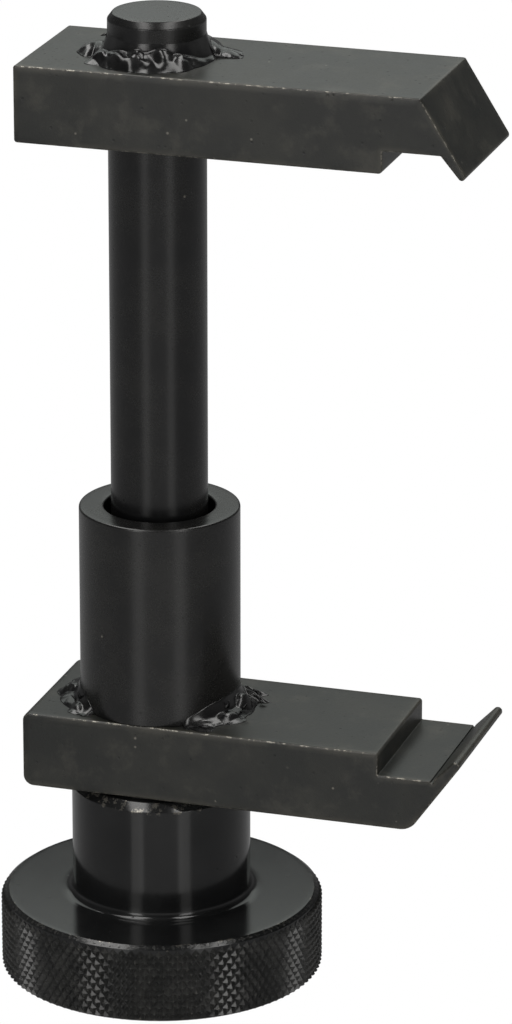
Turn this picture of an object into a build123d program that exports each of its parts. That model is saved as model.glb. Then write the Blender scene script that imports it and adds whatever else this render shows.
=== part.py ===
from build123d import *
from math import cos, isclose, radians, sin, sqrt, tan
import os

# Camshaft alignment tool: a screw clamp with two parallel bar jaws on one round spindle.
# Millimetres, +Z up along the screw axis, jaws reaching along +X.
# The origin is where the screw axis meets the underside of the knurled knob.

# Spindle
spindle_diameter = 15.0
spindle_top = 154.5
spindle_top_chamfer_height = 1.05
spindle_top_chamfer_width = 0.8
thread_diameter = 14.0
thread_pitch = 2.0
thread_depth_per_pitch = 0.613
thread_root_diameter = thread_diameter - 2 * thread_depth_per_pitch * thread_pitch
spindle_foot = 2.0
thread_lead_in = 1.3
shoulder_height = 64.0
relief_width = 3.0

# Knurled knob and its hub, turned from one piece
knob_diameter = 50.7
knob_thickness = 12.4
knob_bevel_width = 1.25
knob_bevel_height = 0.9
knob_foot_chamfer = 0.35
hub_diameter = 28.0
hub_top = 31.5
hub_chamfer = 1.2
hub_foot_fillet = 1.2
thread_running_clearance = 0.08
bore_countersink = 1.1

# Thrust washer in the parting line between hub and lower jaw
washer_thickness = 0.5
washer_outer_diameter = 23.0
washer_bore = 16.0

# Flat bars of both jaws
bar_width = 25.0
bar_height = 12.0
edge_break = 0.35
hook_depth = 3.5
hook_seat_start = 39.0
hook_corner_radius = 0.5

# Lower jaw
lower_arm_bottom = hub_top + washer_thickness
lower_arm_top = lower_arm_bottom + bar_height
lower_arm_back = -18.5
lower_seat_end = 47.6
lower_lip_inner_angle = 46.0
lower_lip_outer_tip = 52.6
lower_root_groove_radius = 0.45
lower_end_angle = 54.7
lower_toe_radius = 3.0
lower_back_top_radius = 1.2
lower_back_bottom_radius = 1.6

# Upper jaw
upper_arm_bottom = 135.8
upper_arm_top = upper_arm_bottom + bar_height
upper_arm_back = -18.6
upper_seat_end = 47.9
upper_lip_inner_angle = 49.7
upper_lip_outer_tip = 52.2
upper_root_radius = 0.3
upper_end_angle = 58.0
upper_back_radius = 0.5
upper_weld_bevel = 1.5
upper_weld_bevel_angle = 90

# Guide sleeve, butted on the lower arm
sleeve_diameter = 25.0
sleeve_bore = 17.2
sleeve_length = 32.2
sleeve_edge_chamfer = 0.4

# Weld beads: each is a run of overlapping ripples, and each ripple ends higher and wider than it starts
upper_bead_reach = 4.1
upper_bead_spread = 0.35
upper_bead_rise = 3.2
upper_bead_ripples = 36
stitch_reach = 3.6
stitch_rise = 3.4
stitch_ripple_turn = 9.0
left_stitch_start = 152.0
left_stitch_ripples = 9
right_stitch_start = -54.0
right_stitch_ripples = 10
ripple_step = 0.13
bead_toe_height = 0.55
bead_toe_slope = 0.4
bead_waist_reach_share = 0.42
bead_waist_rise_share = 0.46
bead_bite = 0.3

os.makedirs("parts", exist_ok=True)


def run_of_slope(height, angle):
    """Horizontal run of a face that rises by height at angle from the horizontal."""
    return height / tan(radians(angle))


# The spindle: a ground rod with a turned-down threaded tail and a relief groove.
with BuildPart() as spindle_rod:
    with BuildSketch(Plane.XZ):
        with BuildLine():
            rod_radius = spindle_diameter / 2
            tail_radius = thread_diameter / 2
            root_radius = thread_root_diameter / 2
            relief_bottom = shoulder_height - relief_width
            chamfer_start = spindle_top - spindle_top_chamfer_height
            Polyline(
                (0, spindle_foot),
                (tail_radius - thread_lead_in, spindle_foot),
                (tail_radius, spindle_foot + thread_lead_in),
                (tail_radius, relief_bottom),
                (root_radius, relief_bottom + tail_radius - root_radius),
                (root_radius, shoulder_height),
                (rod_radius, shoulder_height),
                (rod_radius, chamfer_start),
                (rod_radius - spindle_top_chamfer_width, spindle_top),
                (0, spindle_top),
                close=True,
            )
        make_face()
    revolve(axis=Axis.Z)

# The knurled knob: grip wheel and hub in one turning, bored right through for the screw.
with BuildPart() as clamp_knob:
    with BuildSketch(Plane.XZ):
        with BuildLine():
            bore_radius = thread_diameter / 2 + thread_running_clearance
            grip_radius = knob_diameter / 2
            hub_radius = hub_diameter / 2
            grip_bevel_start = knob_thickness - knob_bevel_height
            Polyline(
                (bore_radius + bore_countersink, 0),
                (grip_radius - knob_foot_chamfer, 0),
                (grip_radius, knob_foot_chamfer),
                (grip_radius, grip_bevel_start),
                (grip_radius - knob_bevel_width, knob_thickness),
                (hub_radius, knob_thickness),
                (hub_radius, hub_top - hub_chamfer),
                (hub_radius - hub_chamfer, hub_top),
                (bore_radius + bore_countersink, hub_top),
                (bore_radius, hub_top - bore_countersink),
                (bore_radius, bore_countersink),
                close=True,
            )
        make_face()
    revolve(axis=Axis.Z)
    hub_foot = clamp_knob.edges().filter_by_position(Axis.Z, knob_thickness, knob_thickness)
    fillet(hub_foot.sort_by(SortBy.RADIUS)[0], hub_foot_fillet)

with BuildPart() as thrust_washer:
    with BuildSketch(Plane.XY.offset(hub_top)):
        Circle(washer_outer_diameter / 2)
        Circle(washer_bore / 2, mode=Mode.SUBTRACT)
    extrude(amount=washer_thickness)

# The lower arm: a flat bar, milled to a seat with an upstanding slanted lip at its end.
with BuildPart() as lower_arm:
    seat_height = lower_arm_top - hook_depth
    toe = lower_lip_outer_tip - run_of_slope(bar_height, lower_end_angle)
    lip_inner_tip = lower_seat_end + run_of_slope(hook_depth, lower_lip_inner_angle)
    with BuildSketch(Plane.XZ) as lower_profile:
        with BuildLine():
            Polyline(
                (lower_arm_back, lower_arm_bottom),
                (toe, lower_arm_bottom),
                (lower_lip_outer_tip, lower_arm_top),
                (lip_inner_tip, lower_arm_top),
                (lower_seat_end, seat_height),
                (hook_seat_start, seat_height),
                (hook_seat_start, lower_arm_top),
                (lower_arm_back, lower_arm_top),
                close=True,
            )
        make_face()
        fillet(lower_profile.vertices().group_by(Axis.Y)[0].sort_by(Axis.X)[-1], lower_toe_radius)
        fillet(lower_profile.vertices().group_by(Axis.X)[0].sort_by(Axis.Y)[0], lower_back_bottom_radius)
        fillet(lower_profile.vertices().group_by(Axis.X)[0].sort_by(Axis.Y)[-1], lower_back_top_radius)
        top_corners = lower_profile.vertices().group_by(Axis.Y)[-1].sort_by(Axis.X)
        fillet(top_corners[1:], hook_corner_radius)
        with Locations((lower_seat_end, seat_height)):
            Circle(lower_root_groove_radius, mode=Mode.SUBTRACT)
    extrude(amount=bar_width / 2, both=True)
    with Locations((0, 0, lower_arm_top)):
        Hole(sleeve_bore / 2)

# The upper arm: the same bar turned over, bored and bevelled for its weld to the spindle.
with BuildPart() as upper_arm:
    seat_height = upper_arm_bottom + hook_depth
    brow = upper_lip_outer_tip - run_of_slope(bar_height, upper_end_angle)
    lip_inner_tip = upper_seat_end + run_of_slope(hook_depth, upper_lip_inner_angle)
    with BuildSketch(Plane.XZ) as upper_profile:
        with BuildLine():
            Polyline(
                (upper_arm_back, upper_arm_top),
                (brow, upper_arm_top),
                (upper_lip_outer_tip, upper_arm_bottom),
                (lip_inner_tip, upper_arm_bottom),
                (upper_seat_end, seat_height),
                (hook_seat_start, seat_height),
                (hook_seat_start, upper_arm_bottom),
                (upper_arm_back, upper_arm_bottom),
                close=True,
            )
        make_face()
        fillet(upper_profile.vertices().group_by(Axis.X)[0], upper_back_radius)
        fillet(upper_profile.vertices().group_by(Axis.Y)[-1].sort_by(Axis.X)[-1], hook_corner_radius)
        bottom_corners = upper_profile.vertices().group_by(Axis.Y)[0].sort_by(Axis.X)
        fillet(bottom_corners[1:], hook_corner_radius)
        seat_corners = upper_profile.vertices().filter_by_position(Axis.Y, seat_height, seat_height)
        fillet(seat_corners.sort_by(Axis.X)[-1], upper_root_radius)
    extrude(amount=bar_width / 2, both=True)
    with Locations((0, 0, upper_arm_top)):
        CounterSinkHole(rod_radius, rod_radius + upper_weld_bevel, counter_sink_angle=upper_weld_bevel_angle)

with BuildPart() as sleeve:
    with BuildSketch(Plane.XY.offset(lower_arm_top)):
        Circle(sleeve_diameter / 2)
        Circle(sleeve_bore / 2, mode=Mode.SUBTRACT)
    extrude(amount=sleeve_length)
    chamfer(sleeve.faces().sort_by(Axis.Z)[-1].edges(), sleeve_edge_chamfer)


def is_root_groove(edge):
    """Whether an edge is the small arc of the relief groove at the root of the lower lip."""
    return edge.geom_type == GeomType.CIRCLE and isclose(edge.radius, lower_root_groove_radius)


# Every edge round both side faces is broken by hand with a file, except in the root groove.
for arm in (lower_arm, upper_arm):
    with arm:
        side_edges = arm.faces().filter_by(Axis.Y).edges()
        filed_edges = [edge for edge in side_edges if not is_root_groove(edge)]
        chamfer(filed_edges, edge_break)


def bead_section(bearing, wall_radius, foot_height, reach, rise, root_depth):
    """Hollow-faced weld section with a blunt toe, standing on the upright plane at bearing."""
    outward = (cos(radians(bearing)), sin(radians(bearing)), 0)
    across = (sin(radians(bearing)), -cos(radians(bearing)), 0)
    with BuildSketch(Plane(origin=(0, 0, foot_height), x_dir=outward, z_dir=across)) as section:
        with BuildLine():
            Polyline(
                (wall_radius - bead_bite, -root_depth - bead_bite),
                (wall_radius + root_depth, 0),
                (wall_radius + reach, 0),
                (wall_radius + reach - bead_toe_slope, bead_toe_height),
                (wall_radius + reach * bead_waist_reach_share, rise * bead_waist_rise_share),
                (wall_radius, rise),
                (wall_radius - bead_bite, rise),
                close=True,
            )
        make_face()
    return section.sketch


def ripple_ends(bearing, turn, wall_radius, foot_height, reach, rise, root_depth=0.0):
    """The low section that starts a ripple at bearing, and the full one that ends it a turn further."""
    start_share = 1 - ripple_step
    low_reach = reach * start_share
    low_rise = rise * start_share
    low_end = bead_section(bearing, wall_radius, foot_height, low_reach, low_rise, root_depth)
    full_end = bead_section(bearing + turn, wall_radius, foot_height, reach, rise, root_depth)
    return [low_end, full_end]


# The ring weld fills the bevel in the upper arm and spreads further along the arm than across it.
with BuildPart() as upper_arm_weld:
    turn = 360 / upper_bead_ripples
    for ripple in range(upper_bead_ripples):
        bearing = ripple * turn
        reach = upper_bead_reach + upper_bead_spread * cos(radians(2 * bearing))
        ends = ripple_ends(bearing, turn, rod_radius, upper_arm_top, reach, upper_bead_rise, upper_weld_bevel)
        loft(ends, ruled=True)
    with Locations((0, 0, upper_arm_top)):
        Cylinder(rod_radius, bar_height, mode=Mode.SUBTRACT)


def stitch_swell(ripple, ripples):
    """Share of its full size that a stitch weld has at one of its ripples, small at both ends."""
    return sqrt(sin(radians(180 * (ripple + 1) / (ripples + 1))))


# Two stitch welds hold the sleeve on the lower arm, one on each side of it along the arm.
stitches = {
    "sleeve_weld_left": (left_stitch_start, left_stitch_ripples),
    "sleeve_weld_right": (right_stitch_start, right_stitch_ripples),
}
stitch_welds = []
for label, (start_bearing, ripples) in stitches.items():
    with BuildPart() as stitch_weld:
        for ripple in range(ripples):
            bearing = start_bearing + ripple * stitch_ripple_turn
            swell = stitch_swell(ripple, ripples)
            reach = stitch_reach * swell
            rise = stitch_rise * swell
            ends = ripple_ends(bearing, stitch_ripple_turn, sleeve_diameter / 2, lower_arm_top, reach, rise)
            loft(ends, ruled=True)
        with Locations((0, 0, lower_arm_top)):
            Cylinder(sleeve_diameter / 2, bar_height, mode=Mode.SUBTRACT)
    stitch_weld.part.label = label
    stitch_welds.append(stitch_weld)

spindle_rod.part.label = "spindle_rod"
clamp_knob.part.label = "clamp_knob"
thrust_washer.part.label = "thrust_washer"
lower_arm.part.label = "lower_arm"
upper_arm.part.label = "upper_arm"
sleeve.part.label = "sleeve"
upper_arm_weld.part.label = "upper_arm_weld"

other_pieces = (spindle_rod, clamp_knob, thrust_washer, lower_arm, upper_arm, sleeve, upper_arm_weld)
for piece in (*other_pieces, *stitch_welds):
    export_step(piece.part, f"parts/{piece.part.label}.step")
    size = piece.part.bounding_box().size
    print(piece.part.label, f"{piece.part.volume:.0f} mm3", f"{size.X:.2f} x {size.Y:.2f} x {size.Z:.2f}")
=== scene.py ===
import logging
import math
import random
from collections.abc import Callable
from dataclasses import dataclass, field
from enum import Enum

import bmesh
import bpy
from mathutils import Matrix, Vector, noise
from mathutils.geometry import tessellate_polygon


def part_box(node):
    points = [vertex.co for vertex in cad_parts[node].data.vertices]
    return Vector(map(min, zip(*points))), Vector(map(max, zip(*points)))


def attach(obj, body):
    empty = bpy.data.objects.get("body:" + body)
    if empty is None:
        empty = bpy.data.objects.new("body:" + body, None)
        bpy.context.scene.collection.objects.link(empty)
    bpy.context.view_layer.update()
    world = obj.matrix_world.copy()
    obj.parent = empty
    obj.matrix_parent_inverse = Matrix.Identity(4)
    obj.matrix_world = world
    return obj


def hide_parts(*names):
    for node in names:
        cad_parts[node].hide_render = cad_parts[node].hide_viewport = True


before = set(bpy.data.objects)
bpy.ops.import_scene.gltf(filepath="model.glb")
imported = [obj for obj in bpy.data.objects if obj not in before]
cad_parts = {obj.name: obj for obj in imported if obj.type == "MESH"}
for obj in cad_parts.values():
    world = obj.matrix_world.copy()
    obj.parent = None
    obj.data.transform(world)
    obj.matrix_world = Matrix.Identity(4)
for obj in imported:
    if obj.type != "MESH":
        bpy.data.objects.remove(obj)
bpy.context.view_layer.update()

# Looks of a camshaft alignment tool: a screw clamp with two hooked bar jaws on one round spindle.
# Lengths are millimetres and become metres where a mesh, a lamp or a node is made.

MM = 0.001
METRE = 1000.0
TURN = 2 * math.pi
WEAR_NAME = "wear"
SHARP_ANGLE = 32.0
SHARP_BEAD_ANGLE = 70.0
EDGE_STEPS = 4
BORE_OVERSHOOT = 5.0
CLEAR_OF_CORNER = 0.002
PARALLEL = 1e-9
ROUNDING_ROOM = 0.0001
NEAR_START = 1e-4
NEAR_END = 1e-6
LOG = logging.getLogger("camshaft_tool")

Point = tuple[float, float]
Range = tuple[float, float]
Place = tuple[float, float, float]
Worn = tuple[float, float, float]
Colour = tuple[float, float, float]


def polar(turn: float, distance: float, height: float = 0.0) -> Place:
    """The place at a turn in radians and a distance from the screw axis."""
    return (distance * math.cos(turn), distance * math.sin(turn), height)


def signed_turn(bearing: float, other: float) -> float:
    """The turn from another bearing to this one, from -180 to 180 degrees."""
    return (bearing - other + 180.0) % 360.0 - 180.0


def rgba(colour: Colour) -> tuple[float, float, float, float]:
    """The colour with full opacity."""
    return (*colour, 1.0)


def operator(operation: str, swapped: bool = False) -> Callable[["Term", object], "Term"]:
    """A method that does one of Python's operators with a Math node.

    Args:
        operation: The Math node's operation.
        swapped: Whether the other operand comes first, as in 1 - term.

    Returns:
        The method.
    """
    def method(term: "Term", other: object) -> "Term":
        """The operation's result on the term and the other operand."""
        return term.maths(operation, *((other, term) if swapped else (term, other)))
    return method


class Term:
    """One node output, so that node maths can be written as a Python expression.

    Args:
        graph: The graph that owns the node.
        socket: The output that carries the value.
    """

    def __init__(self, graph: "Graph", socket: bpy.types.NodeSocket) -> None:
        self.graph = graph
        self.socket = socket

    def maths(self, operation: str, *operands: object) -> "Term":
        """A Math node on the operands, in order.

        Args:
            operation: The Math node's operation.
            operands: Terms or plain numbers.

        Returns:
            The node's result.
        """
        inputs = dict(enumerate(operands))
        return self.graph.term("ShaderNodeMath", {"operation": operation}, inputs)

    __add__ = __radd__ = operator("ADD")
    __mul__ = __rmul__ = operator("MULTIPLY")
    __sub__ = operator("SUBTRACT")
    __rsub__ = operator("SUBTRACT", swapped=True)
    __truediv__ = operator("DIVIDE")
    __rtruediv__ = operator("DIVIDE", swapped=True)
    __pow__ = operator("POWER")
    __mod__ = operator("FLOORED_MODULO")
    least = operator("MINIMUM")
    most = operator("MAXIMUM")

    def floor(self) -> "Term":
        """Largest whole number not above the value."""
        return self.maths("FLOOR", self)

    def ease(self, low: float, high: float) -> "Term":
        """A smooth step from 0 at low to 1 at high, or down from 1 if high is below low.

        Args:
            low: The value that gives 0.
            high: The value that gives 1.

        Returns:
            The eased value.
        """
        if high < low:
            return 1.0 - self.ease(high, low)
        settings = {"interpolation_type": "SMOOTHSTEP"}
        inputs = {0: self, 1: low, 2: high, 3: 0.0, 4: 1.0}
        return self.graph.term("ShaderNodeMapRange", settings, inputs)


class Graph:
    """Nodes of one material or one geometry tree.

    Args:
        tree: The node tree that is filled.
    """

    def __init__(self, tree: bpy.types.NodeTree) -> None:
        self.tree = tree

    def add(self, kind: str, settings: dict | None = None,
            inputs: dict | None = None) -> bpy.types.Node:
        """One node of any type.

        Args:
            kind: The node's type name.
            settings: Properties, set first.
            inputs: Terms or constants by the socket's name or number.

        Returns:
            The new node.
        """
        node = self.tree.nodes.new(kind)
        for key, value in (settings or {}).items():
            setattr(node, key, value)
        for key, value in (inputs or {}).items():
            if isinstance(value, Term):
                self.tree.links.new(value.socket, node.inputs[key])
            else:
                node.inputs[key].default_value = value
        return node

    def term(self, kind: str, settings: dict | None = None, inputs: dict | None = None,
             output: str | int = 0) -> Term:
        """One output of a new node, as a term."""
        return Term(self, self.add(kind, settings, inputs).outputs[output])

    def split(self, vector: Term) -> tuple[Term, Term, Term]:
        """The three components of a vector."""
        node = self.add("ShaderNodeSeparateXYZ", inputs={0: vector})
        return tuple(Term(self, socket) for socket in node.outputs)

    def join(self, x: object, y: object, z: object) -> Term:
        """A vector of three values."""
        return self.term("ShaderNodeCombineXYZ", inputs={0: x, 1: y, 2: z})

    def stretch(self, vector: Term, scale: tuple[float, float, float]) -> Term:
        """The vector scaled along each axis."""
        inputs = {0: vector, 1: scale}
        return self.term("ShaderNodeVectorMath", {"operation": "MULTIPLY"}, inputs)

    def noise(self, place: Term, size: float, detail: float, roughness: float) -> Term:
        """Fractal noise from 0 to 1 around a mean of one half.

        Args:
            place: Where the noise is read.
            size: Size of its features in millimetres.
            detail: Octaves.
            roughness: Share that each octave adds.

        Returns:
            The noise value.
        """
        return self.term("ShaderNodeTexNoise", None, {
            "Vector": place, "Scale": 1 / (size * MM), "Detail": detail,
            "Roughness": roughness}, "Fac")

    def cells(self, place: Term, scale: float, output: str = "Distance") -> Term:
        """Distance to the nearest of scattered points in cell widths, or its random Color."""
        inputs = {"Vector": place, "Scale": scale}
        return self.term("ShaderNodeTexVoronoi", {"feature": "F1"}, inputs, output)

    def blend(self, share: object, first: object, second: object) -> Term:
        """A colour between two colours.

        Args:
            share: 0 for the first colour, 1 for the second.
            first: A term or an RGB colour.
            second: A term or an RGB colour.

        Returns:
            The mixed colour.
        """
        ends = [rgba(end) if isinstance(end, tuple) else end for end in (first, second)]
        inputs = {0: share, 6: ends[0], 7: ends[1]}
        return self.term("ShaderNodeMix", {"data_type": "RGBA"}, inputs, 2)


def blank(owner: bpy.types.ID) -> Graph:
    """The emptied node tree of a material or a world.

    Args:
        owner: The material or world.

    Returns:
        The tree, ready for new nodes.
    """
    owner.use_nodes = True
    owner.node_tree.nodes.clear()
    return Graph(owner.node_tree)


@dataclass(frozen=True)
class OxideFinish:
    """Black oxide on steel: a dark film that thins, pits, stains and rubs through to bright metal.
    A lighter warm band beside edges is partly worn film and partly painted edge sheen.

    Lengths are millimetres. Shares and strengths run from 0 to 1.

    Attributes:
        name: Name of the material.
        dark: Colour where the film is thick.
        light: Colour where the film is thin.
        bare: Colour of the bright metal.
        thin: Warm colour of stains, and of the lighter band beside an edge that is partly worn film
            and partly painted edge sheen.
        pit: Colour inside a pit.
        roughness: Mean roughness.
        roughness_spread: How far the roughness wanders from its mean.
        film_patch: Size of the patches of thick and thin film.
        grain: Size of the fine grain.
        grain_height: Height of the fine grain.
        pit_size: Distance between neighbouring pits.
        pit_share: Share of those places that hold a pit.
        pit_depth: Depth of a pit.
        fleck_share: Share of places that hold a fleck of bright metal.
        fleck_density: Places for a fleck against places for a pit, along a line.
        wear: How much of an edge is rubbed bright.
        rub_reach: Wear value from which an edge can be rubbed bright.
        edge_sheen_and_thinning: Strength of the warm lighter band beside an edge, partly worn film
            and partly painted edge sheen.
        staining: Strength of the warm stains on open faces.
        stain_patch: Size of those stains.
        rub_patch: Size of the rubbed places along an edge.
        lay_pitch: Distance between the fine marks of turning or grinding, 0 for none.
        lay_length: Length of those marks.
        lay_height: Height of those marks.
        ior: Index of refraction.
        film_band: Noise values over which the film passes from thick to thin.
        pit_rim: Distances from a pit's middle, outer and inner, over which it sinks.
        pit_gaps: Grain values over which a pit breaks up.
        pit_shade: Strength of a pit's colour.
        pit_roughness: Roughness that a pit adds.
        fleck_rim: Distances from a fleck's middle over which it shows.
        fleck_shine: Strength of a fleck.
        rub_fade: Noise values over which rubbed metal fades in.
        rub_run: Wear values over which it does so.
        thin_and_sheen_run: Wear values over which the band of worn film and painted edge sheen
            comes in beside an edge.
        thin_and_sheen_band: Noise values over which it does so.
        stain_band: Noise values over which a stain fades in.
        bare_cover: Strength of the bright metal's colour.
        bare_metal: Metal share of the bright metal.
        bare_polish: Roughness that bright metal loses.
    """

    name: str
    dark: Colour
    light: Colour
    bare: Colour = (0.25, 0.235, 0.205)
    thin: Colour = (0.048, 0.045, 0.036)
    pit: Colour = (0.006, 0.006, 0.006)
    roughness: float = 0.38
    roughness_spread: float = 0.10
    film_patch: float = 9.0
    grain: float = 0.35
    grain_height: float = 0.012
    pit_size: float = 0.9
    pit_share: float = 0.16
    pit_depth: float = 0.03
    fleck_share: float = 0.03
    fleck_density: float = 0.62
    wear: float = 0.5
    rub_reach: float = 0.5
    edge_sheen_and_thinning: float = 0.0
    staining: float = 0.0
    stain_patch: float = 6.5
    rub_patch: float = 1.1
    lay_pitch: float = 0.0
    lay_length: float = 25.0
    lay_height: float = 0.0
    ior: float = 1.5
    film_band: Range = (0.34, 0.68)
    pit_rim: Range = (0.34, 0.08)
    pit_gaps: Range = (0.3, 0.6)
    pit_shade: float = 0.75
    pit_roughness: float = 0.2
    fleck_rim: Range = (0.2, 0.06)
    fleck_shine: float = 0.8
    rub_fade: float = 0.12
    rub_run: float = 0.45
    thin_and_sheen_run: Range = (0.0, 0.6)
    thin_and_sheen_band: Range = (0.3, 0.6)
    stain_band: Range = (0.5, 0.7)
    bare_cover: float = 0.85
    bare_metal: float = 0.95
    bare_polish: float = 0.06

    def material(self) -> bpy.types.Material:
        """Builds the material.

        Returns:
            The finished material.
        """
        material = bpy.data.materials.new(self.name)
        graph = blank(material)
        place = graph.term("ShaderNodeTexCoord", output="Object")
        colour, rough, metal, height = self._surface(graph, place)
        normal = graph.term("ShaderNodeBump", None, {
            "Strength": 1.0, "Distance": MM, "Height": height})
        shader = graph.term("ShaderNodeBsdfPrincipled", None, {
            "Base Color": colour, "Roughness": rough, "Metallic": metal, "IOR": self.ior,
            "Normal": normal})
        graph.add("ShaderNodeOutputMaterial", None, {"Surface": shader})
        return material

    def _surface(self, graph: Graph, place: Term) -> tuple[Term, Term, Term, Term]:
        """What changes over the surface.

        Args:
            graph: The material's nodes.
            place: Coordinates of the surface.

        Returns:
            Colour, roughness, metal share and height in millimetres.
        """
        film = graph.noise(place, self.film_patch, 4.0, 0.6)
        grain = graph.noise(place, self.grain, 2.0, 0.6)
        colour = graph.blend(film.ease(*self.film_band), self.dark, self.light)

        pit_scale = 1 / (self.pit_size * MM)
        pit_lot = graph.split(graph.cells(place, pit_scale, "Color"))[0]
        pit_lot = pit_lot.ease(1 - self.pit_share, 1.0)
        pit_core = graph.cells(place, pit_scale).ease(*self.pit_rim)
        pits = pit_core * pit_lot * grain.ease(*self.pit_gaps)
        colour = graph.blend(pits * self.pit_shade, colour, self.pit)

        fleck_scale = pit_scale * self.fleck_density
        fleck_lot = graph.split(graph.cells(place, fleck_scale, "Color"))[0]
        fleck_lot = fleck_lot.ease(1 - self.fleck_share, 1 - self.fleck_share * 0.6)
        flecks = graph.cells(place, fleck_scale).ease(*self.fleck_rim) * fleck_lot

        edge = graph.term("ShaderNodeAttribute", {"attribute_name": WEAR_NAME}, output="Fac")
        rub_noise = graph.noise(place, self.rub_patch, 4.0, 0.75)
        threshold = 0.72 - 0.4 * self.wear
        rub = (rub_noise + edge * 0.1 - 0.1).ease(threshold, threshold + self.rub_fade)
        rub = rub * edge.ease(self.rub_reach, self.rub_reach + self.rub_run)
        # A warm lighter band beside worn edges: partly worn film, partly painted edge sheen.
        worn_film_and_sheen = edge.ease(*self.thin_and_sheen_run) * film.ease(*self.thin_and_sheen_band) * self.edge_sheen_and_thinning
        colour = graph.blend(worn_film_and_sheen, colour, self.thin)
        stain = graph.noise(place, self.stain_patch, 4.0, 0.7).ease(*self.stain_band)
        colour = graph.blend(stain * self.staining, colour, self.thin)
        bare = rub.most(flecks * self.fleck_shine)
        colour = graph.blend(bare * self.bare_cover, colour, self.bare)

        rough = self.roughness + (film - 0.5) * self.roughness_spread * 2
        rough = rough + (grain - 0.5) * self.roughness_spread
        rough = rough + pits * self.pit_roughness - bare * self.bare_polish
        height = (grain + film * 2) * self.grain_height - pits * self.pit_depth
        if self.lay_pitch:
            across, along = 1 / (self.lay_pitch * MM), 1 / (self.lay_length * MM)
            marks = graph.noise(graph.stretch(place, (along, along, across)), METRE, 3.0, 0.7)
            height = height + marks * self.lay_height
        return colour, rough, bare * self.bare_metal, height


def peaked(share: float) -> float:
    """Wear across a rounded edge, strongest half way."""
    return 1.0 - abs(share - 0.5)


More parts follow.
